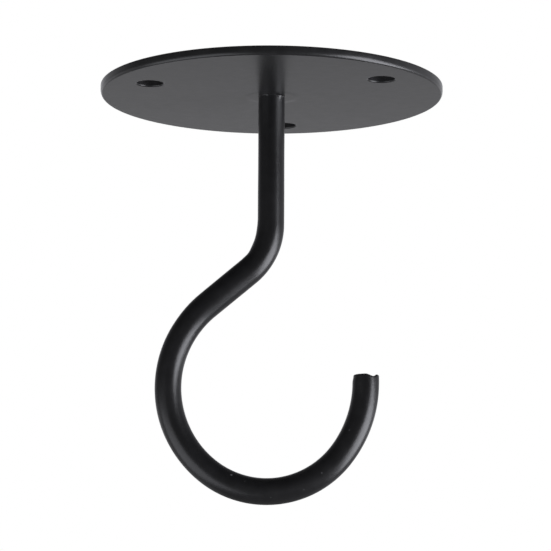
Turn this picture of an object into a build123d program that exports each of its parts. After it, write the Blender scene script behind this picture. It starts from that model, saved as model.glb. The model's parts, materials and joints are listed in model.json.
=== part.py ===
"""Ceiling hook for a hanging plant: a round screw plate and a bent round bar.

The origin is the centre of the plate's ceiling face, +Z points up into the
ceiling, and the bar is bent in the XZ plane. Sizes are in millimetres, over
the powder coating.
"""

import os
from math import radians, tan

from build123d import *

# Plate
plate_diameter = 81.6
plate_thickness = 2.1
front_rim_radius = 0.9
back_rim_chamfer = 0.15

# Screw holes
screw_hole_count = 3
screw_hole_diameter = 6.2
screw_hole_setback = 9.6
first_screw_angle = -35.4
screw_hole_chamfer = 0.25

# Bent bar, lengths and radii on its centreline
bar_diameter = 6.3
shank_length = 31.0
bend_radius = 15.0
bend_turn = 50.0
neck_length = 12.6
shoulder_radius = 25.0
shoulder_turn = 101.0
belly_radius = 22.0
belly_turn = 91.6
lip_radius = 28.0
lip_turn = 40.8

# Sheared end of the bar
end_edge_chamfer = 0.3
nick_margin = 0.3
nick_outer_run = 0.9
nick_inner_run = 1.7
nick_depth = 0.6
nick_root_radius = 0.4

# Spigot turned on the bar, which passes through the plate and is riveted over at the back
seat_width = 1.0
spigot_land = 1.0
spigot_clearance = 0.05
rivet_head_angle = 90.0

plate_radius = plate_diameter / 2
screw_circle_radius = plate_radius - screw_hole_setback
bar_radius = bar_diameter / 2
nick_offset = bar_radius - nick_margin - nick_outer_run
spigot_radius = bar_radius - seat_width
rivet_head_depth = plate_thickness - spigot_land
rivet_head_radius = spigot_radius + rivet_head_depth * tan(radians(rivet_head_angle / 2))


# Plate: a blanked disc with its front rim rounded, its other edges broken and its centre hole
# countersunk at the back
with BuildPart() as ceiling_plate:
    with BuildSketch(Plane.XY.offset(-plate_thickness)):
        Circle(plate_radius)
        with PolarLocations(screw_circle_radius, screw_hole_count, first_screw_angle):
            Circle(screw_hole_diameter / 2, mode=Mode.SUBTRACT)
    extrude(amount=plate_thickness)

    front_face = ceiling_plate.faces().sort_by(Axis.Z)[0]
    back_face = ceiling_plate.faces().sort_by(Axis.Z)[-1]
    front_rim = front_face.outer_wire().edges()
    back_rim = back_face.outer_wire().edges()
    screw_hole_edges = front_face.inner_wires().edges()
    chamfer(screw_hole_edges, screw_hole_chamfer)
    chamfer(back_rim, back_rim_chamfer)
    fillet(front_rim, front_rim_radius)

    with Locations(Plane.XY):
        CounterSinkHole(
            radius=spigot_radius + spigot_clearance,
            counter_sink_radius=rivet_head_radius + spigot_clearance,
            counter_sink_angle=rivet_head_angle,
        )

# Bar: one length of round bar bent in a plane, from the plate down and round to its open end
with BuildPart() as hook_bar:
    with BuildLine(Plane.XZ) as centreline:
        shank = Line((0, -plate_thickness), (0, -plate_thickness - shank_length))
        bend = JernArc(shank @ 1, shank % 1, bend_radius, -bend_turn)
        neck = PolarLine(bend @ 1, neck_length, direction=bend % 1)
        shoulder = JernArc(neck @ 1, neck % 1, shoulder_radius, shoulder_turn)
        belly = JernArc(shoulder @ 1, shoulder % 1, belly_radius, belly_turn)
        lip = JernArc(belly @ 1, belly % 1, lip_radius, lip_turn)
    with BuildSketch(Plane.XY.offset(-plate_thickness)):
        Circle(bar_radius)
    sweep()

    end_point = lip @ 1
    end_direction = lip % 1
    end_face = hook_bar.faces().filter_by(GeomType.PLANE).sort_by_distance(end_point)[0]
    chamfer(end_face.edges(), end_edge_chamfer)

    # Nick left by the shear, a rounded groove across the end near its outer side
    end_plane = Plane(
        origin=end_point,
        x_dir=(end_direction.Z, 0, -end_direction.X),
        z_dir=(0, -1, 0),
    )
    with BuildSketch(end_plane):
        with BuildLine():
            Polyline(
                (nick_offset - nick_inner_run, 0),
                (nick_offset, -nick_depth),
                (nick_offset + nick_outer_run, 0),
                (nick_offset + nick_outer_run, nick_depth),
                (nick_offset - nick_inner_run, nick_depth),
                close=True,
            )
        make_face()
        nick_root = vertices().sort_by(Axis.Y)[0]
        fillet(nick_root, nick_root_radius)
    extrude(amount=bar_diameter, both=True, mode=Mode.SUBTRACT)

    # Spigot through the plate, its head riveted flush into the countersink
    with BuildSketch(Plane.XZ):
        with BuildLine():
            Polyline(
                (0, -plate_thickness),
                (spigot_radius, -plate_thickness),
                (spigot_radius, -rivet_head_depth),
                (rivet_head_radius, 0),
                (0, 0),
                close=True,
            )
        make_face()
    revolve(axis=Axis.Z)

ceiling_plate.part.label = "ceiling_plate"
hook_bar.part.label = "hook_bar"

os.makedirs("parts", exist_ok=True)
export_step(ceiling_plate.part, "parts/ceiling_plate.step")
export_step(hook_bar.part, "parts/hook_bar.step")
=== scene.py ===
"""Dresses the plant hanger hook: a coated ceiling plate and a coated bent bar.

Every length is in metres in the part's own frame. The origin is the centre of
the plate's ceiling face, +Z points up and the bar is bent in the XZ plane.
"""

import json
from math import cos, pi, radians, sin

import bmesh
import bpy
import numpy as np
from bpy.props import FloatProperty, FloatVectorProperty, IntProperty, PointerProperty
from mathutils import Matrix, Vector


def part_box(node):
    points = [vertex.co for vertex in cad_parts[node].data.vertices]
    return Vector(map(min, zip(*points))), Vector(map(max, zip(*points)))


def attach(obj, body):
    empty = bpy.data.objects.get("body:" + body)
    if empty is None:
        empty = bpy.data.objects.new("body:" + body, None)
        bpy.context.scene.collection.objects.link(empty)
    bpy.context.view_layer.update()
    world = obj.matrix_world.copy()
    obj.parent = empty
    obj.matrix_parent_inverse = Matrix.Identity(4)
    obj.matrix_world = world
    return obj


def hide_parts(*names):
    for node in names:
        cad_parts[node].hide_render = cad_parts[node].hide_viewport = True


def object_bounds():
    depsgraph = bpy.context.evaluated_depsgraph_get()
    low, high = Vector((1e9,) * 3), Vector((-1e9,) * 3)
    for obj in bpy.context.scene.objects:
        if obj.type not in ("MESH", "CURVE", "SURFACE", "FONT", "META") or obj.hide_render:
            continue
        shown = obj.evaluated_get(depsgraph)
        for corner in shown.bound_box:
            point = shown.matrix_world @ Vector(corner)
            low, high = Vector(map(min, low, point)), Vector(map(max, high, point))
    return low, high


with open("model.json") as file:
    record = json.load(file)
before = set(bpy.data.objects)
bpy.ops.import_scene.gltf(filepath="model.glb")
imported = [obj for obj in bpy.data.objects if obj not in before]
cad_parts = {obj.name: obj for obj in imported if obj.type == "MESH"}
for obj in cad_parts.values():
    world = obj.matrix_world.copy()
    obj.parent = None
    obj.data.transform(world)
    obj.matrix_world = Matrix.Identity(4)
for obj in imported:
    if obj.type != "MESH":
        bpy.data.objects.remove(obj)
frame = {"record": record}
CAD_LOW, CAD_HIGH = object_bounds()
PLATE_LOW, PLATE_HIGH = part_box("ceiling_plate")
SCREWS = {m["name"]: m for m in frame["record"]["mounts"]}["screw_holes"]["dims"]

bl_info = {
    "name": "Plant hanger hook",
    "version": (1, 0, 0),
    "blender": (4, 5, 0),
    "location": "3D View > Sidebar > Hook",
    "description": "Builds the coated plate and the bent bar of a ceiling hook",
    "category": "Object",
}

MM = 0.001
WHITE = (1, 1, 1, 1)

# Points closer than this become one
WELD_DISTANCE = 1e-7

# Width of the square picture in pixels, of the camera's sensor in millimetres, and the nearest view
PIXELS = 551
SENSOR_WIDTH = 36.0
CLIP_START = 10 * MM


def length(label, text, value):
    """A length property in metres."""
    return FloatProperty(
        name=label,
        description=text,
        default=value,
        min=0.0,
        precision=5,
        unit="LENGTH",
        subtype="DISTANCE",
    )


def angle(label, text, degrees):
    """An angle property, kept in radians."""
    return FloatProperty(
        name=label, description=text, default=radians(degrees), unit="ROTATION", subtype="ANGLE"
    )


def number(label, text, value, high=1000.0):
    """A plain number property."""
    return FloatProperty(
        name=label, description=text, default=value, min=0.0, max=high, precision=4
    )


def colour(label, text, value):
    """A linear colour property."""
    return FloatVectorProperty(
        name=label, description=text, default=value, min=0.0, max=1.0, size=3, subtype="COLOR"
    )


def area(label, text, value):
    """A property for a width and a height in metres."""
    return FloatVectorProperty(
        name=label, description=text, default=value, min=0.0, size=2, precision=3, unit="LENGTH"
    )


class PlateSettings(bpy.types.PropertyGroup):
    """Sizes of the ceiling plate."""

    diameter: length("Diameter", "Across the plate", PLATE_HIGH[0] - PLATE_LOW[0])
    thickness: length("Thickness", "Through the coated plate", PLATE_HIGH[2] - PLATE_LOW[2])
    front_rim_width: length("Front rim width", "Rounding of the lower rim, inwards", 0.5 * MM)
    front_rim_height: length("Front rim height", "Rounding of the lower rim, upwards", 1.05 * MM)
    back_rim_radius: length("Back rim radius", "Rounding of the rim's upper edge", 0.15 * MM)
    screw_hole_diameter: length("Screw hole", "Across a screw hole", 2 * SCREWS["hole_r_mm"] * MM)
    screw_circle_diameter: length(
        "Screw circle", "Across the circle of holes", SCREWS["pcd_mm"] * MM
    )
    screw_hole_count: IntProperty(
        name="Screw holes", description="Number of screw holes", default=SCREWS["count"], min=1
    )
    first_screw_angle: angle("First hole", "Turn of the first hole from +X", -35.4)
    hole_lip_radius: length("Hole lip", "Rounding of a hole's lower edge", 0.35 * MM)
    hole_back_radius: length("Hole back edge", "Rounding of a hole's upper edge", 0.1 * MM)


class BarSettings(bpy.types.PropertyGroup):
    """Sizes of the bent bar, on its centreline, and of the marks in its skin."""

    diameter: length("Diameter", "Across the bar and its coat", 6.3 * MM)
    shank_length: length("Shank", "Straight run below the plate", 31.0 * MM)
    bend_radius: length("Bend radius", "Radius of the first bend", 15.0 * MM)
    bend_turn: angle("Bend turn", "Turn of the first bend", 50.0)
    neck_length: length("Neck", "Straight run between bend and ring", 12.6 * MM)
    shoulder_radius: length("Shoulder radius", "Radius of the ring's first part", 25.0 * MM)
    shoulder_turn: angle("Shoulder turn", "Turn of the ring's first part", 101.0)
    belly_radius: length("Belly radius", "Radius of the ring's bottom", 22.0 * MM)
    belly_turn: angle("Belly turn", "Turn of the ring's bottom", 91.6)
    lip_radius: length("Lip radius", "Radius of the ring's last part", 28.0 * MM)
    lip_turn: angle("Lip turn", "Turn of the ring's last part", 40.8)
    seat_width: length("Seat", "Step from the bar down to its spigot", 1.0 * MM)
    spigot_land: length("Spigot land", "Straight part of the plate's centre hole", 1.0 * MM)
    spigot_clearance: length("Spigot clearance", "Gap round spigot and head", 0.05 * MM)
    dimple_depth: length("Dimples", "Depth of the rivet head's dimples", 0.035 * MM)
    coat_fillet: length("Coat fillet", "Coating gathered in the corner at the plate", 0.08 * MM)
    coat_run: length("Coat run", "Thickest part of the coating in that corner", 0.22 * MM)
    wave_depth: length("Waves", "Depth of the long waves along the bar", 0.01 * MM)
    bend_swell: length("Bend swell", "Thickening on the inside of the first bend", 0.2 * MM)
    crease_depth: length("Crease depth", "Depth of the crease inside the first bend", 0.15 * MM)
    crease_width: length("Crease width", "Half width of that crease", 1.6 * MM)
    crease_station: length("Crease station", "Length of bar above the crease", 40.2 * MM)
    end_reach: length("End reach", "Length of bar that the shear drew in", 2.4 * MM)
    end_draw: length("End draw", "How far the shear drew in its inner side", 0.28 * MM)
    end_edge_radius: length("End edge", "Rounding of the sheared end's edge", 0.3 * MM)
    end_lift: length("End lift", "Height of the sheared end above its plane", 0.25 * MM)
    tear_depth: length("Tearing", "Height of the fine tearing of the sheared end", 0.015 * MM)
    nick_depth: length("Nick depth", "Depth of the nick in the sheared end", 0.55 * MM)
    nick_offset: length("Nick offset", "From the centreline out to the nick's root", 1.75 * MM)
    nick_start: length("Nick start", "From the centreline in to the nick's start", 0.2 * MM)
    nick_rise: length("Nick rise", "Width over which the end rises again", 0.95 * MM)
    nick_wander: length("Nick wander", "Sideways wander of the nick's root", 0.1 * MM)


class FinishSettings(bpy.types.PropertyGroup):
    """Look of the black powder coat."""

    plate_coat: colour("Plate coat", "Black of the plate's coat", (0.0085, 0.0085, 0.009))
    bar_coat: colour("Bar coat", "Black of the bar's coat", (0.0048, 0.0048, 0.0053))
    coat_lift: number("Thin coat", "How much lighter the black is where the coat is thin", 1.5)
    dust: colour("Dust", "Specks of dust in the coat", (0.09, 0.09, 0.094))
    plate_roughness: number("Plate roughness", "Roughness of the plate's coat", 0.30, high=1.0)
    bar_roughness: number("Bar roughness", "Roughness of the bar's coat", 0.33, high=1.0)
    plate_grit: number("Plate grit", "Strength of the plate's fine grain", 0.12, high=2.0)
    bar_grit: number("Bar grit", "Strength of the bar's fine grain", 0.6, high=2.0)
    cloud_cells: number("Clouds", "Broad clouds in a metre", 55.0, high=1e5)
    mottle_cells: number("Mottle", "Blotches of mottling in a metre", 380.0, high=1e5)
    peel_cells: number("Orange peel", "Bumps of orange peel in a metre", 900.0, high=1e5)
    grain_cells: number("Grain", "Grains in a metre", 2300.0, high=1e5)
    dusty_cells: number("Dusty areas", "Areas in a metre that may hold dust", 160.0, high=1e5)
    speck_cells: number("Specks", "Places in a metre for a speck in such areas", 420.0, high=1e5)
    relief: length("Relief", "Depth of the coat's relief", 0.02 * MM)
    ripple_radius: length("Ripple radius", "Ripple round the plate's riveted centre", 6.0 * MM)
    ripple: number("Ripple", "Height of that ripple, as a share of the coat's relief", 2.2)


class StudioSettings(bpy.types.PropertyGroup):
    """Camera and light."""

    elevation: angle("Camera elevation", "Upward tilt of the camera", 9.0)
    roll: angle("Camera roll", "Turn about the line of sight", 0.27)
    distance: length("Camera distance", "From the plate's lower face to the lens", 554.9 * MM)
    aside: FloatProperty(name="Aside", description="Shift to the side", default=-0.93 * MM)
    below: FloatProperty(name="Below", description="Shift downwards", default=42.63 * MM)
    focal_pixels: number("Focal length", "Focal length in pixels of the view", 2321.6, high=1e5)
    floor_drop: length("Floor", "From the plate down to the floor", 850 * MM)
    floor_reach: length("Floor reach", "Half the width of the square floor", 12000 * MM)
    floor_near: length("Near floor", "Radius within which the floor is grey", 2000 * MM)
    floor_far: length("Far floor", "Radius from which the floor is white", 7000 * MM)
    floor_grey: number("Floor grey", "Grey of the near floor", 0.3, high=1.0)
    # Painted light: a white glow in the floor at either side behind the hook, seen only in
    # reflections
    floor_wing_glow: number("Floor wings", "White in the floor at either side behind", 0.3, high=1.0)
    floor_lift: number("Floor lift", "White that the camera sees in the near floor", 0.5, high=1.0)
    room_light: number("Room light", "Plain soft light from all round", 0.6)
    room_glow: number("Room glow", "Brightness of the room in reflections, in front", 0.125)
    side_glow: number("Side glow", "The same, behind on the right", 0.5)
    ceiling_shade: number("Ceiling shade", "How much darker its top is", 0.65, high=1.0)
    right_azimuth: angle("Right azimuth", "Turn of the right softbox from the front", 71.0)
    right_elevation: angle("Right elevation", "Height of the right softbox", -17.5)
    right_lean: angle("Right lean", "Tilt of the right softbox, its far side down", 29.0)
    right_distance: length("Right distance", "From the hook to the right softbox", 600 * MM)
    right_size: area("Right size", "Width and height of the right softbox", (0.62, 0.39))
    right_glow: number("Right softbox", "Brightness of the right softbox", 8.0)
    left_azimuth: angle("Left azimuth", "Turn of the left softbox from the front", -57.0)
    left_elevation: angle("Left elevation", "Height of the left softbox", -30.0)
    left_lean: angle("Left lean", "Tilt of the left softbox, its far side down", 0.0)
    left_distance: length("Left distance", "From the hook to the left softbox", 500 * MM)
    left_size: area("Left size", "Width and height of the left softbox", (0.58, 0.40))
    left_glow: number("Left softbox", "Brightness of the left softbox", 1.9)
    tint: colour("Tint", "Colour of the softboxes", (0.925, 0.935, 1.0))
    room_tint: colour("Room tint", "Colour of the room in reflections", (0.955, 0.955, 1.0))


def linked(name, data):
    """A new object with that data, in the scene."""
    item = bpy.data.objects.new(name, data)
    bpy.context.scene.collection.objects.link(item)
    return item


def grid_faces(rows, columns):
    """Quads of a grid closed in its columns, where point (r, c) has the index r * columns + c."""
    row = np.arange(rows - 1)[:, None] * columns
    here = np.arange(columns)[None, :]
    there = (here + 1) % columns
    corners = [row + here, row + there, row + columns + there, row + columns + here]
    return np.stack(corners, axis=-1).reshape(-1, 4)


def make_piece(name, patches):
    """One smooth closed mesh from patches, each a (rows, columns, 3) grid closed in its columns.

    Points that coincide are welded, so patches join along their shared borders and a row that
    shrinks to a point becomes a pole, and then all faces are turned outwards.
    """
    offsets = np.cumsum([0] + [patch.shape[0] * patch.shape[1] for patch in patches])
    points = np.concatenate([patch.reshape(-1, 3) for patch in patches])
    faces = np.concatenate(
        [grid_faces(*patch.shape[:2]) + offset for patch, offset in zip(patches, offsets)]
    )
    mesh = bpy.data.meshes.new(name)
    mesh.from_pydata(points, [], faces)
    work = bmesh.new()
    work.from_mesh(mesh)
    bmesh.ops.remove_doubles(work, verts=work.verts, dist=WELD_DISTANCE)
    bmesh.ops.recalc_face_normals(work, faces=work.faces)
    work.to_mesh(mesh)
    work.free()
    mesh.validate()
    mesh.shade_smooth()
    return linked(name, mesh)


def ease(value):
    """Smooth step: 0 below 0, 1 above 1, and 3 v^2 - 2 v^3 between."""
    v = np.clip(value, 0.0, 1.0)
    return v * v * (3 - 2 * v)


def bell(value, centre, width):
    """Bell curve: 1 at the centre, exp(-((value - centre) / width)^2) away from it."""
    return np.exp(-(((value - centre) / width) ** 2))


def quarter_round(steps):
    """Angles from 0 to a quarter turn."""
    return np.linspace(0, pi / 2, steps + 1)


def from_flat(start, end, steps):
    """Quarter ellipse from start to end, as (radius, height) pairs, level at its start.

    At the angle a the radius has gone the share sin a of the way, and the height 1 - cos a.
    """
    (radius, height), (last_radius, last_height) = start, end
    return [
        (radius + (last_radius - radius) * sin(a), height + (last_height - height) * (1 - cos(a)))
        for a in quarter_round(steps)
    ]


def from_wall(start, end, steps):
    """Quarter ellipse from start to end, upright at its start: the other one taken backwards."""
    return from_flat(end, start, steps)[::-1]


def revolved(profile, angles, centre=(0.0, 0.0)):
    """A profile of (radius, height) pairs turned about the vertical line through centre."""
    radius, height = np.array(profile).T[:, :, None]
    x = centre[0] + radius * np.cos(angles)
    y = centre[1] + radius * np.sin(angles)
    return np.stack([x, y, height + 0 * x], axis=-1)


# Points along a sector's outer arc, along each of its edges and along its inner arc
SECTOR_POINTS = (96, 24, 24)


def sector_border(outer, inner, half_turn):
    """Closed outline of a ring sector about +X: outer arc, edge in, inner arc and edge out."""
    outer_count, edge_count, inner_count = SECTOR_POINTS
    arc = np.linspace(-half_turn, half_turn, outer_count, endpoint=False)
    back_arc = np.linspace(half_turn, -half_turn, inner_count, endpoint=False)
    inwards = np.linspace(outer, inner, edge_count, endpoint=False)
    outwards = np.linspace(inner, outer, edge_count, endpoint=False)
    radius = np.concatenate([outer + 0 * arc, inwards, inner + 0 * back_arc, outwards])
    turn = np.concatenate([arc, half_turn + 0 * inwards, back_arc, -half_turn + 0 * outwards])
    return np.stack([radius * np.cos(turn), radius * np.sin(turn)], axis=-1)


# Rows across a flat sector, the outer ones this far inside its ends
FLAT_ROWS = 7
FLAT_GUARD = 0.05 * MM


def flat_sector(border, hole_centre, hole_angles, hole_radius, height, turn):
    """Flat sheet between a hole and the border of its sector, turned about the plate's centre.

    The point at (t, j) lies the share t of the way from point j of the hole to point j of the
    border. Rows close to both ends keep the shading of the flat clear of the rounded edges.
    """
    hole = np.stack([np.cos(hole_angles), np.sin(hole_angles)], axis=-1) * hole_radius
    hole[:, 0] += hole_centre
    span = np.linalg.norm(border - hole, axis=1)
    between = np.linspace(0, 1, FLAT_ROWS)[:, None]
    away = FLAT_GUARD + (span - 2 * FLAT_GUARD) * between
    share = np.concatenate([0 * span[None], away, span[None]]) / span
    flat = hole + (border - hole) * share[..., None]
    x = flat[..., 0] * cos(turn) - flat[..., 1] * sin(turn)
    y = flat[..., 0] * sin(turn) + flat[..., 1] * cos(turn)
    return np.stack([x, y, height + 0 * x], axis=-1)


# Steps in the roundings of the front rim, of a hole's lip and of both back edges
RIM_STEPS = 18
LIP_STEPS = 8
BACK_STEPS = 4

# Rows on the upright walls, as shares of the thickness, and beside the centre hole's edges
RIM_WALL_ROW = 0.35
HOLE_WALL_ROWS = (0.6, 0.3)
CENTRE_GUARD = 0.02 * MM


def plate_patches(plate, bar):
    """Surfaces of the plate: its rim, its two flat faces, its screw holes and its centre hole.

    Rims and hole walls are profiles turned about an axis, and each flat face is one sector for
    each screw hole, from the hole out to the rim and in to the centre hole.
    """
    radius, thickness = plate.diameter / 2, plate.thickness
    front, rise, back = plate.front_rim_width, plate.front_rim_height, plate.back_rim_radius
    hole, lip = plate.screw_hole_diameter / 2, plate.hole_lip_radius
    hole_back = plate.hole_back_radius
    hole_centre = plate.screw_circle_diameter / 2
    spigot = bar.diameter / 2 - bar.seat_width + bar.spigot_clearance
    sink = thickness - bar.spigot_land
    half_turn = pi / plate.screw_hole_count

    front_border = sector_border(radius - front, spigot, half_turn)
    back_border = sector_border(radius - back, spigot + sink, half_turn)
    hole_angles = np.arctan2(front_border[:, 1], front_border[:, 0] - hole_centre)

    rim = from_flat((radius - front, -thickness), (radius, -thickness + rise), RIM_STEPS)
    rim += [(radius, -thickness * RIM_WALL_ROW)]
    rim += from_wall((radius, -back), (radius - back, 0.0), BACK_STEPS)
    hole_wall = from_flat((hole + lip, -thickness), (hole, -thickness + lip), LIP_STEPS)
    hole_wall += [(hole, -thickness * row) for row in HOLE_WALL_ROWS]
    hole_wall += from_wall((hole, -hole_back), (hole + hole_back, 0.0), BACK_STEPS)
    centre_wall = [
        (spigot, -thickness),
        (spigot, -thickness + CENTRE_GUARD),
        (spigot, -sink),
        (spigot + sink - CENTRE_GUARD, -CENTRE_GUARD),
        (spigot + sink, 0.0),
    ]

    rim_count = SECTOR_POINTS[0] * plate.screw_hole_count
    centre_count = SECTOR_POINTS[2] * plate.screw_hole_count
    start = plate.first_screw_angle - half_turn
    patches = [
        revolved(rim, start + 2 * pi * np.arange(rim_count) / rim_count),
        revolved(centre_wall, start + 2 * pi * np.arange(centre_count) / centre_count),
    ]
    for k in range(plate.screw_hole_count):
        turn = plate.first_screw_angle + 2 * half_turn * k
        centre = (hole_centre * cos(turn), hole_centre * sin(turn))
        sheets = ((front_border, hole + lip, -thickness), (back_border, hole + hole_back, 0.0))
        for border, edge, height in sheets:
            patches.append(flat_sector(border, hole_centre, hole_angles, edge, height, turn))
        patches.append(revolved(hole_wall, hole_angles + turn, centre))
    return patches


def bar_runs(bar):
    """Runs of the bar's centreline as (length, curvature), positive where it turns to the left."""
    return [
        (bar.shank_length, 0.0),
        (bar.bend_radius * bar.bend_turn, -1 / bar.bend_radius),
        (bar.neck_length, 0.0),
        (bar.shoulder_radius * bar.shoulder_turn, 1 / bar.shoulder_radius),
        (bar.belly_radius * bar.belly_turn, 1 / bar.belly_radius),
        (bar.lip_radius * bar.lip_turn, 1 / bar.lip_radius),
    ]


def advance(heading, curvature, distance):
    """Steps in x and z after some distance along a run that starts with that heading.

    On a straight run the centre moves along the heading, and on an arc it moves by the
    difference of the heading's sine and cosine over the curvature.
    """
    if not curvature:
        return distance * cos(heading), distance * sin(heading)
    turned = heading + curvature * distance
    step_x = (np.sin(turned) - sin(heading)) / curvature
    step_z = (cos(heading) - np.cos(turned)) / curvature
    return step_x, step_z


# Straight run that carries the relief of the sheared end past the last run
PAST_THE_END = (1.0, 0.0)


def bar_points(station, radius, around, runs, start_height):
    """Points of the bar at stations along its centreline, radii from it and angles around it.

    The heading is the start heading, straight down, plus curvature times length, run by run.
    Angle 0 is to the right of the heading, and a quarter turn is towards +Y.
    """
    x, z, heading = (np.zeros_like(station) for _ in range(3))
    at_x, at_z, at_heading, passed = 0.0, start_height, -pi / 2, 0.0
    for index, (run_length, curvature) in enumerate(runs + [PAST_THE_END]):
        local = station - passed
        here = (local >= 0) & (local <= run_length) if index else local <= run_length
        step_x, step_z = advance(at_heading, curvature, local)
        x = np.where(here, at_x + step_x, x)
        z = np.where(here, at_z + step_z, z)
        heading = np.where(here, at_heading + curvature * local, heading)
        step_x, step_z = advance(at_heading, curvature, run_length)
        at_x, at_z = at_x + step_x, at_z + step_z
        at_heading += curvature * run_length
        passed += run_length
    side = radius * np.cos(around)
    along_y = radius * np.sin(around)
    return np.stack([x + side * np.sin(heading), along_y, z - side * np.cos(heading)], axis=-1)


# Slope of the sheared end, and the share of the nick's depth that it regains further out
END_SLOPE = 0.035
NICK_REGAIN = 0.8

# Sines across the sheared end, in radians for a metre: wander of the nick, and tearing
WANDER_RATE = 1.4 / MM
TEAR_RATE = 5.3 / MM
TEAR_CROSS_RATE, TEAR_CROSS_START = 3.7 / MM, 0.6
TEAR_BEND_RATE, TEAR_BEND = 2.1 / MM, 1.1


def end_height(x, y, bar):
    """Height of the sheared end over its plane at the offset x outwards and y across.

    It slopes slightly outwards, falls smoothly from the centreline to the root of the nick, rises
    again towards the outer edge, and carries fine tearing, a product of two sines.
    """
    root = bar.nick_offset + bar.nick_wander * np.sin(y * WANDER_RATE)
    fall = ease((x + bar.nick_start) / (root + bar.nick_start))
    rise = ease((x - root) / bar.nick_rise)
    bent = TEAR_BEND * np.sin(y * TEAR_BEND_RATE)
    tearing = np.sin(x * TEAR_RATE + bent) * np.sin(y * TEAR_CROSS_RATE + TEAR_CROSS_START)
    slope = END_SLOPE * (x + bar.diameter / 2)
    nick = bar.nick_depth * (fall - NICK_REGAIN * rise)
    return bar.end_lift - slope - nick + bar.tear_depth * tearing


# Angles around the bar where more coating has gathered in the corner, and their half widths
RUN_ANGLE, RUN_WIDTH = radians(230), radians(14)
DROP_ANGLE, DROP_WIDTH = radians(288), radians(5)

# Size of the drop beside the run, and the waves of the coating's width around the bar, each with
# its number of crests and the angle it starts from
DROP_SHARE = 0.7
CORNER_UNEVENNESS = 0.3
CORNER_WAVES = ((2, 0.8), (5, 2.0))

# Height of the coating in the corner over its width, more where it has run, and its hollowness
CORNER_HEIGHT = 2
RUN_HEIGHT = 3
CORNER_HOLLOW = 1.5


def coat_corner(share, around, bar):
    """Station and radius of the coating in the corner between bar and plate, from the plate down.

    It is a hollow quarter round. Its width swells in two narrow places around the bar, each a
    bell curve of the angle, where more coating has gathered.
    """
    run = bell(around, RUN_ANGLE, RUN_WIDTH)
    drop = DROP_SHARE * bell(around, DROP_ANGLE, DROP_WIDTH)
    waves = sum(np.sin(crests * around + start) for crests, start in CORNER_WAVES)
    width = bar.coat_fillet * (1 + CORNER_UNEVENNESS * waves) + bar.coat_run * (run + drop)
    height = CORNER_HEIGHT * width + RUN_HEIGHT * bar.coat_run * run
    turn = share * pi / 2
    return height * np.sin(turn), bar.diameter / 2 + width * (1 - np.sin(turn)) ** CORNER_HOLLOW


# Long waves along the bar, in radians for a metre, and how many crests lie around it
WAVE_RATE = 0.31 / MM
WAVE_CRESTS = 2

# Lengths over which the bend's swell rises and falls, and how far it lasts past the neck
SWELL_RISE = 4 * MM
SWELL_FALL = 10 * MM
SWELL_TAIL = 8 * MM


def surface_waver(station, around, bar):
    """Unevenness of the bar's skin: long waves, and inside the first bend a swell with a crease.

    The waves are sines along and around the bar. The swell rises and falls smoothly along the
    bend and the neck, and the crease is a bell curve cut from it.
    """
    wave = bar.wave_depth * (np.sin(station * WAVE_RATE + WAVE_CRESTS * around) - 1)
    bend_start = bar.shank_length
    neck_end = bend_start + bar.bend_radius * bar.bend_turn + bar.neck_length
    rising = ease((station - bend_start + SWELL_RISE / 2) / SWELL_RISE)
    falling = ease((neck_end + SWELL_TAIL - station) / SWELL_FALL)
    crease = bell(station, bar.crease_station, bar.crease_width)
    inside = np.clip(np.cos(around), 0, 1) ** 2
    return wave + (bar.bend_swell * rising * falling - bar.crease_depth * crease) * inside


# Columns around the bar, and rows in its corner, along it, in its drawn end, edge and end face
BAR_COLUMNS = 96
CORNER_ROWS = 8
BAR_ROWS = 420
DRAWN_ROWS = 8
EDGE_ROWS = 5
END_ROWS = 14

# Rings of the rivet head as shares of its radius, its dimples and their twist from the centre
# outwards in radians, and the small break of its edge
HEAD_SHARES = (0.0, 0.15, 0.3, 0.45, 0.6, 0.75, 0.88, 0.96)
DIMPLES = 3
DIMPLE_TWIST = 4
HEAD_BREAK = 0.03 * MM
HEAD_BREAK_SIDE = 0.01 * MM

# Row beside the seat on the spigot, and the first row below the coating in the corner
SEAT_GUARD = 0.02 * MM
SHANK_START = 1.2 * MM

# How sharply the drawing-in of the end fades around the bar
DRAW_FADE = 1.5


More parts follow.
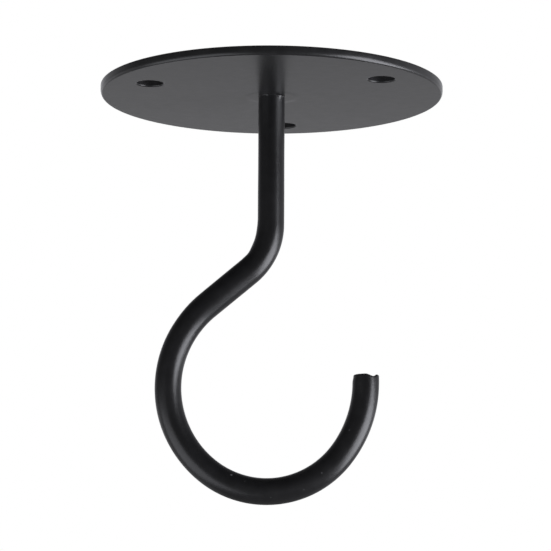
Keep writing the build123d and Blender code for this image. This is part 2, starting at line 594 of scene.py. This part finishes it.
def bar_patch(plate, bar):
    """Surface of the bar: rivet head, spigot, seat, shank, bends and sheared end as one skin.

    It is built up in bands. Each band holds the station and the radius of its rows, for every
    angle around the bar, and all of them are carried along the centreline together.
    """
    around = 2 * pi * np.arange(BAR_COLUMNS) / BAR_COLUMNS
    radius = bar.diameter / 2
    spigot = radius - bar.seat_width
    sink = plate.thickness - bar.spigot_land
    head = spigot + sink
    runs = bar_runs(bar)
    total = sum(run_length for run_length, _ in runs)
    drawn_start = total - bar.end_reach
    bands = []

    def band(station, size):
        full = np.broadcast_shapes(np.shape(station), np.shape(size), (1, BAR_COLUMNS))
        bands.append(np.stack([np.broadcast_to(station, full), np.broadcast_to(size, full)]))

    back = -plate.thickness
    share = np.array(HEAD_SHARES)[:, None]
    lobes = 1 + np.cos(DIMPLES * around + DIMPLE_TWIST * share)
    band(back + bar.dimple_depth * share * (1 - share) * lobes, head * share)
    stations = [back, back + HEAD_BREAK, back + sink, -SEAT_GUARD, 0.0]
    sizes = [head - HEAD_BREAK, head - HEAD_BREAK_SIDE, spigot, spigot, spigot]
    band(np.array(stations)[:, None], np.array(sizes)[:, None])

    share = np.linspace(0, 1, CORNER_ROWS)[:, None]
    band(*coat_corner(share, around, bar))
    station = np.linspace(SHANK_START, drawn_start, BAR_ROWS)[:, None]
    band(station, radius + surface_waver(station, around, bar))

    waver = surface_waver(drawn_start, around, bar)
    drawn = bar.end_draw * np.clip(-np.cos(around), 0, 1) ** DRAW_FADE

    def wall_radius(height):
        """Radius near the end, drawn in on the inner side by the shear."""
        part = height / bar.end_reach
        return radius + waver * (1 - part) - drawn * ease(part) ** 2

    edge = bar.end_edge_radius
    inset = radius - edge
    rim_relief = end_height(inset * np.cos(around), inset * np.sin(around), bar)
    rim_height = bar.end_reach + rim_relief - edge
    height = rim_height * np.linspace(0, 1, DRAWN_ROWS + 1)[1:, None]
    band(drawn_start + height, wall_radius(height))
    turn = quarter_round(EDGE_ROWS)[1:, None]
    inner = wall_radius(rim_height) - edge
    band(drawn_start + rim_height + edge * np.sin(turn), inner + edge * np.cos(turn))
    size = inner * np.linspace(1, 0, END_ROWS + 1)[1:, None]
    band(total + end_height(size * np.cos(around), size * np.sin(around), bar), size)

    station, size = np.concatenate(bands, axis=1)
    return bar_points(station, size, around, runs, -plate.thickness)


class Signal:
    """A value socket that adds Math nodes when it is used in an expression."""

    def __init__(self, bench, socket):
        self.bench = bench
        self.socket = socket

    def _math(self, operation, first, second):
        settings = {"operation": operation}
        return self.bench.add("ShaderNodeMath", settings, {0: first, 1: second}).out("Value")

    def __add__(self, other):
        return self._math("ADD", self, other)

    def __radd__(self, other):
        return self._math("ADD", other, self)

    def __sub__(self, other):
        return self._math("SUBTRACT", self, other)

    def __rsub__(self, other):
        return self._math("SUBTRACT", other, self)

    def __mul__(self, other):
        return self._math("MULTIPLY", self, other)

    def __rmul__(self, other):
        return self._math("MULTIPLY", other, self)

    def at_most(self, other):
        return self._math("MINIMUM", self, other)

    def at_least(self, other):
        return self._math("MAXIMUM", self, other)


class Step:
    """One node of a tree."""

    def __init__(self, bench, node):
        self.bench = bench
        self.node = node

    def out(self, name):
        return Signal(self.bench, self.node.outputs[name])


class Bench:
    """Adds nodes to one node tree, which it empties first."""

    def __init__(self, owner):
        owner.use_nodes = True
        self.tree = owner.node_tree
        self.tree.nodes.clear()

    def plug(self, socket, value):
        """Links a signal to a socket, or sets the socket's own value."""
        if isinstance(value, Signal):
            self.tree.links.new(value.socket, socket)
        else:
            socket.default_value = value

    def add(self, kind, settings=None, sockets=None):
        """A node of that kind with its settings set first, then its sockets' values or links."""
        node = self.tree.nodes.new(kind)
        for name, value in (settings or {}).items():
            setattr(node, name, value)
        for name, value in (sockets or {}).items():
            self.plug(node.inputs[name], value)
        return Step(self, node)

    def blend(self, factor, low, high):
        """A colour between two colours."""
        mix = self.add("ShaderNodeMix", {"data_type": "RGBA"})
        for identifier, value in (("Factor_Float", factor), ("A_Color", low), ("B_Color", high)):
            self.plug(next(s for s in mix.node.inputs if s.identifier == identifier), value)
        result = next(s for s in mix.node.outputs if s.identifier == "Result_Color")
        return Signal(self, result)

    def ramp_between(self, value, low, high):
        """0 where the value is at or below low, 1 at or above high, and smooth between."""
        settings = {"interpolation_type": "SMOOTHSTEP"}
        sockets = {"Value": value, "From Min": low, "From Max": high}
        return self.add("ShaderNodeMapRange", settings, sockets).out("Result")

    def vector_math(self, operation, sockets, result):
        """A Vector Math node's result, which is its Vector or its Value."""
        return self.add("ShaderNodeVectorMath", {"operation": operation}, sockets).out(result)


# How rough each noise is, and its middle value
NOISE_ROUGHNESS = 0.55
NOISE_MIDDLE = 0.5


def noise(bench, place, per_metre, detail):
    """Fine noise with so many cells in a metre."""
    sockets = {"Vector": place, "Scale": per_metre, "Detail": detail, "Roughness": NOISE_ROUGHNESS}
    return bench.add("ShaderNodeTexNoise", {"noise_dimensions": "3D"}, sockets).out("Fac")


# Noise values between which the coat turns thin and an area dusty, and a speck's fading edge
THIN_LIMITS = (0.4, 0.62)
DUSTY_LIMITS = (0.60, 0.66)
SPECK_LIMITS = (0.05, 0.11)

# Strength of each noise in the coat's tone, in its roughness and in its relief
CLOUD_TONE, MOTTLE_TONE = 0.6, 0.4
CLOUD_GLOSS, MOTTLE_GLOSS, GRAIN_GLOSS, DUST_GLOSS = 0.05, 0.06, 0.2, 0.15
PEEL_HEIGHT, DUST_HEIGHT = 0.7, 0.5
BUMP_STRENGTH = 0.8
COAT_IOR = 1.45

# Edges of the ripple's slope as shares of its radius, and how far clouds shift it
RIPPLE_EDGES = (0.85, 1.15)
RIPPLE_SHIFT = 0.3


def powder_coat(name, finish, coat, roughness, grit, dished=0.0):
    """Black powder coat: near-black and satin, with orange peel, fine grain and a few dust specks.

    Its grit is the strength of the grain. Where it is dished, a low ripple runs round the riveted
    centre at that radius, in metres.
    """
    material = bpy.data.materials.new(name)
    bench = Bench(material)
    place = bench.add("ShaderNodeTexCoord").out("Object")
    cloud = noise(bench, place, finish.cloud_cells, detail=3.0)
    mottle = noise(bench, place, finish.mottle_cells, detail=2.0)
    peel = noise(bench, place, finish.peel_cells, detail=2.0)
    grain = noise(bench, place, finish.grain_cells, detail=2.0)
    speck_sockets = {"Vector": place, "Scale": finish.speck_cells, "Randomness": 1.0}
    specks = bench.add("ShaderNodeTexVoronoi", {"feature": "F1"}, speck_sockets)
    dusty = noise(bench, place, finish.dusty_cells, detail=1.0)
    dot = 1 - bench.ramp_between(specks.out("Distance"), *SPECK_LIMITS)
    dust = dot * bench.ramp_between(dusty, *DUSTY_LIMITS)

    thin = [part * finish.coat_lift for part in coat]
    patchy = cloud * CLOUD_TONE + mottle * MOTTLE_TONE
    body = bench.blend(bench.ramp_between(patchy, *THIN_LIMITS), (*coat, 1), (*thin, 1))
    base = bench.blend(dust, body, (*finish.dust, 1))
    gloss = roughness + (cloud - NOISE_MIDDLE) * CLOUD_GLOSS
    gloss = gloss + (mottle - NOISE_MIDDLE) * MOTTLE_GLOSS
    gloss = gloss + (grain - NOISE_MIDDLE) * GRAIN_GLOSS * grit + dust * DUST_GLOSS
    height = peel * PEEL_HEIGHT + grain * grit + dust * DUST_HEIGHT
    if dished:
        level = bench.vector_math("MULTIPLY", {0: place, 1: (1, 1, 0)}, "Vector")
        radius = bench.vector_math("LENGTH", {"Vector": level}, "Value")
        radius = radius + (cloud - NOISE_MIDDLE) * RIPPLE_SHIFT * dished
        outside = bench.ramp_between(radius, *(edge * dished for edge in RIPPLE_EDGES))
        height = height + (1 - outside) * finish.ripple
    bump_sockets = {"Strength": BUMP_STRENGTH, "Distance": finish.relief, "Height": height}
    normal = bench.add("ShaderNodeBump", None, bump_sockets).out("Normal")
    sockets = {"Base Color": base, "Roughness": gloss, "IOR": COAT_IOR, "Normal": normal}
    shader = bench.add("ShaderNodeBsdfPrincipled", None, sockets)
    bench.add("ShaderNodeOutputMaterial", None, {"Surface": shader.out("BSDF")})
    return material


def mirror_rays(path):
    """1 for rays that come off a shiny surface or through a clear one, from a Light Path node."""
    return (path.out("Is Glossy Ray") + path.out("Is Transmission Ray")).at_most(1.0)


# Where reflections see the floor turn white, in metres to either side and behind the hook: at
# either side the white is a painted glow of light, far behind it is the backdrop
WING_SIDES = (0.25, 0.7)
WING_DEPTHS = (-0.1, 0.4)
FAR_DEPTHS = (-2.0, 4.5)


def floor_paint(name, studio):
    """Pale studio floor: matt grey with the object's shadow, and white far out at the backdrop.

    The camera sees it paler nearby too, and reflections see a painted patch of light, a white glow,
    at either side behind the hook.
    """
    material = bpy.data.materials.new(name)
    bench = Bench(material)
    path = bench.add("ShaderNodeLightPath")
    camera = path.out("Is Camera Ray")
    mirrored = mirror_rays(path)
    place = bench.add("ShaderNodeTexCoord").out("Object")
    reach = bench.vector_math("LENGTH", {"Vector": place}, "Value")
    far = bench.ramp_between(reach, studio.floor_near, studio.floor_far)
    spot = bench.add("ShaderNodeSeparateXYZ", None, {"Vector": place})
    depth = spot.out("Y")
    aside = bench.add("ShaderNodeMath", {"operation": "ABSOLUTE"}, {0: spot.out("X")}).out("Value")
    # Painted light: a patch at either side behind the hook that glows white in reflections
    wing_glow = bench.ramp_between(aside, *WING_SIDES) * bench.ramp_between(depth, *WING_DEPTHS)
    behind = bench.ramp_between(depth, *FAR_DEPTHS)
    shown = far + studio.floor_lift * (1 - far)
    # Reflections see the white backdrop far behind, and the painted glow of light at either side
    # behind the hook
    reflected = (far * behind).at_least(wing_glow * studio.floor_wing_glow)
    grey = (*[studio.floor_grey] * 3, 1)
    matt = bench.add("ShaderNodeBsdfDiffuse", None, {"Color": grey}).out("BSDF")
    shade = bench.blend(camera, (*studio.room_tint, 1), WHITE)
    white = bench.add("ShaderNodeEmission", None, {"Color": shade, "Strength": 1.0})
    share = camera * shown + mirrored * reflected
    mix_sockets = {0: share, 1: matt, 2: white.out("Emission")}
    mix = bench.add("ShaderNodeMixShader", None, mix_sockets)
    bench.add("ShaderNodeOutputMaterial", None, {"Surface": mix.out("Shader")})
    return material


# Direction towards the bright side of the room, and the limits of that side, top and backdrop
BRIGHT_SIDE = (0.3, 0.95, 0.0)
SIDE_LIMITS = (-0.2, 0.7)
TOP_LIMITS = (0.2, 0.7)
BACKDROP_LIMITS = (0.8, 0.97)


def light_world(studio):
    """White backdrop for the camera and, behind the hook, in reflections, with a dim room in front.

    The brightness in reflections rises from the front to the sides and again towards the
    backdrop, and falls towards the top.
    """
    world = bpy.data.worlds.new("studio")
    bpy.context.scene.world = world
    bench = Bench(world)
    path = bench.add("ShaderNodeLightPath")
    way = bench.add("ShaderNodeTexCoord").out("Generated")
    split = bench.add("ShaderNodeSeparateXYZ", None, {"Vector": way})
    aslant = bench.vector_math("DOT_PRODUCT", {0: way, 1: BRIGHT_SIDE}, "Value")
    sides = bench.ramp_between(aslant, *SIDE_LIMITS)
    top = bench.ramp_between(split.out("Z"), *TOP_LIMITS)
    backdrop = bench.ramp_between(split.out("Y"), *BACKDROP_LIMITS)
    shown = studio.room_glow + sides * (studio.side_glow - studio.room_glow)
    shown = shown * (1 - top * studio.ceiling_shade) + backdrop * (1 - studio.side_glow)
    mirrored = mirror_rays(path)
    seen = path.out("Is Camera Ray")
    strength = seen + (1 - seen) * (mirrored * shown + (1 - mirrored) * studio.room_light)
    shade = bench.blend(mirrored, WHITE, (*studio.room_tint, 1))
    light = bench.add("ShaderNodeBackground", None, {"Color": shade, "Strength": strength})
    bench.add("ShaderNodeOutputWorld", None, {"Surface": light.out("Background")})


def softbox(name, target, tint, azimuth, elevation, lean, distance, size, glow):
    """An area lamp that faces a target from a direction, with that brightness as seen from it.

    The azimuth counts from the front to the right, and the lean turns the lamp's far side down.
    """
    away = Vector((cos(elevation) * sin(azimuth), -cos(elevation) * cos(azimuth), sin(elevation)))
    level = Vector((cos(azimuth), sin(azimuth), 0))
    width = cos(lean) * level - sin(lean) * away.cross(level)
    lamp = bpy.data.lights.new(name, "AREA")
    lamp.shape = "RECTANGLE"
    lamp.size, lamp.size_y = size
    lamp.energy = glow * pi * lamp.size * lamp.size_y
    lamp.color = tint
    light = linked(name, lamp)
    turn = Matrix((width, away.cross(width), away)).transposed().to_4x4()
    light.matrix_world = Matrix.Translation(target + distance * away) @ turn
    light.visible_camera = False


def lay_floor(studio):
    """Square floor below the hook."""
    corners = np.array([(-1, -1), (1, -1), (1, 1), (-1, 1)]) * studio.floor_reach
    points = np.column_stack([corners, np.full(4, -studio.floor_drop)])
    mesh = bpy.data.meshes.new("floor")
    mesh.from_pydata(points, [], [(0, 1, 2, 3)])
    mesh.materials.append(floor_paint("floor_paint", studio))
    return linked("floor", mesh)


def aim_camera(studio, plate):
    """Camera that looks up towards the plate's lower face, rolled and shifted off its centre."""
    tilt, roll = studio.elevation, studio.roll
    forward = Vector((0, cos(tilt), sin(tilt)))
    level = Vector((1, 0, 0))
    upright = level.cross(forward)
    right = cos(roll) * level + sin(roll) * upright
    up = -sin(roll) * level + cos(roll) * upright
    target = Vector((0, 0, -plate.thickness))
    place = target - forward * studio.distance - right * studio.aside - up * studio.below
    data = bpy.data.cameras.new("view")
    data.sensor_width = SENSOR_WIDTH
    data.lens = studio.focal_pixels / PIXELS * SENSOR_WIDTH
    data.clip_start = CLIP_START
    camera = linked("view", data)
    turn = Matrix((right, up, -forward)).transposed().to_4x4()
    camera.matrix_world = Matrix.Translation(place) @ turn
    return camera


class HANGER_OT_plate(bpy.types.Operator):
    """Builds the coated ceiling plate over its solid"""

    bl_idname = "hanger.plate"
    bl_label = "Build plate"

    def execute(self, context):
        scene = context.scene
        piece = make_piece("plate_skin", plate_patches(scene.hanger_plate, scene.hanger_bar))
        finish = scene.hanger_finish
        look = (finish.plate_coat, finish.plate_roughness, finish.plate_grit, finish.ripple_radius)
        piece.data.materials.append(powder_coat("plate_coat", finish, *look))
        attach(piece, "root")
        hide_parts("ceiling_plate")
        return {"FINISHED"}


class HANGER_OT_bar(bpy.types.Operator):
    """Builds the coated bent bar over its solid"""

    bl_idname = "hanger.bar"
    bl_label = "Build bar"

    def execute(self, context):
        scene = context.scene
        piece = make_piece("bar_skin", [bar_patch(scene.hanger_plate, scene.hanger_bar)])
        finish = scene.hanger_finish
        look = (finish.bar_coat, finish.bar_roughness, finish.bar_grit)
        piece.data.materials.append(powder_coat("bar_coat", finish, *look))
        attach(piece, "root")
        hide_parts("hook_bar")
        return {"FINISHED"}


class HANGER_OT_stage(bpy.types.Operator):
    """Sets up the floor, the light and the camera"""

    bl_idname = "hanger.stage"
    bl_label = "Set up studio"

    def execute(self, context):
        scene = context.scene
        studio = scene.hanger_studio
        scene.view_settings.view_transform = "Standard"
        floor = lay_floor(studio)

        light_world(studio)
        middle = Vector((0, 0, (CAD_LOW[2] + CAD_HIGH[2]) / 2))
        softbox(
            "right_softbox",
            middle,
            studio.tint,
            studio.right_azimuth,
            studio.right_elevation,
            studio.right_lean,
            studio.right_distance,
            studio.right_size,
            studio.right_glow,
        )
        softbox(
            "left_softbox",
            middle,
            studio.tint,
            studio.left_azimuth,
            studio.left_elevation,
            studio.left_lean,
            studio.left_distance,
            studio.left_size,
            studio.left_glow,
        )
        scene.camera = aim_camera(studio, scene.hanger_plate)
        return {"FINISHED"}


class HANGER_PT_panel(bpy.types.Panel):
    """Lists the steps that build the hook"""

    bl_idname = "HANGER_PT_panel"
    bl_label = "Plant hanger hook"
    bl_space_type = "VIEW_3D"
    bl_region_type = "UI"
    bl_category = "Hook"

    def draw(self, context):
        for operator in (HANGER_OT_plate, HANGER_OT_bar, HANGER_OT_stage):
            self.layout.operator(operator.bl_idname)
        for group in SETTINGS:
            for name in SETTINGS[group].__annotations__:
                self.layout.prop(getattr(context.scene, group), name)


SETTINGS = {
    "hanger_plate": PlateSettings,
    "hanger_bar": BarSettings,
    "hanger_finish": FinishSettings,
    "hanger_studio": StudioSettings,
}
CLASSES = (*SETTINGS.values(), HANGER_OT_plate, HANGER_OT_bar, HANGER_OT_stage, HANGER_PT_panel)


def register():
    for item in CLASSES:
        bpy.utils.register_class(item)
    for group, kind in SETTINGS.items():
        setattr(bpy.types.Scene, group, PointerProperty(type=kind))


def unregister():
    for group in SETTINGS:
        delattr(bpy.types.Scene, group)
    for item in reversed(CLASSES):
        bpy.utils.unregister_class(item)


def main():
    register()
    bpy.ops.hanger.plate()
    bpy.ops.hanger.bar()
    bpy.ops.hanger.stage()


if __name__ == "__main__":
    main()
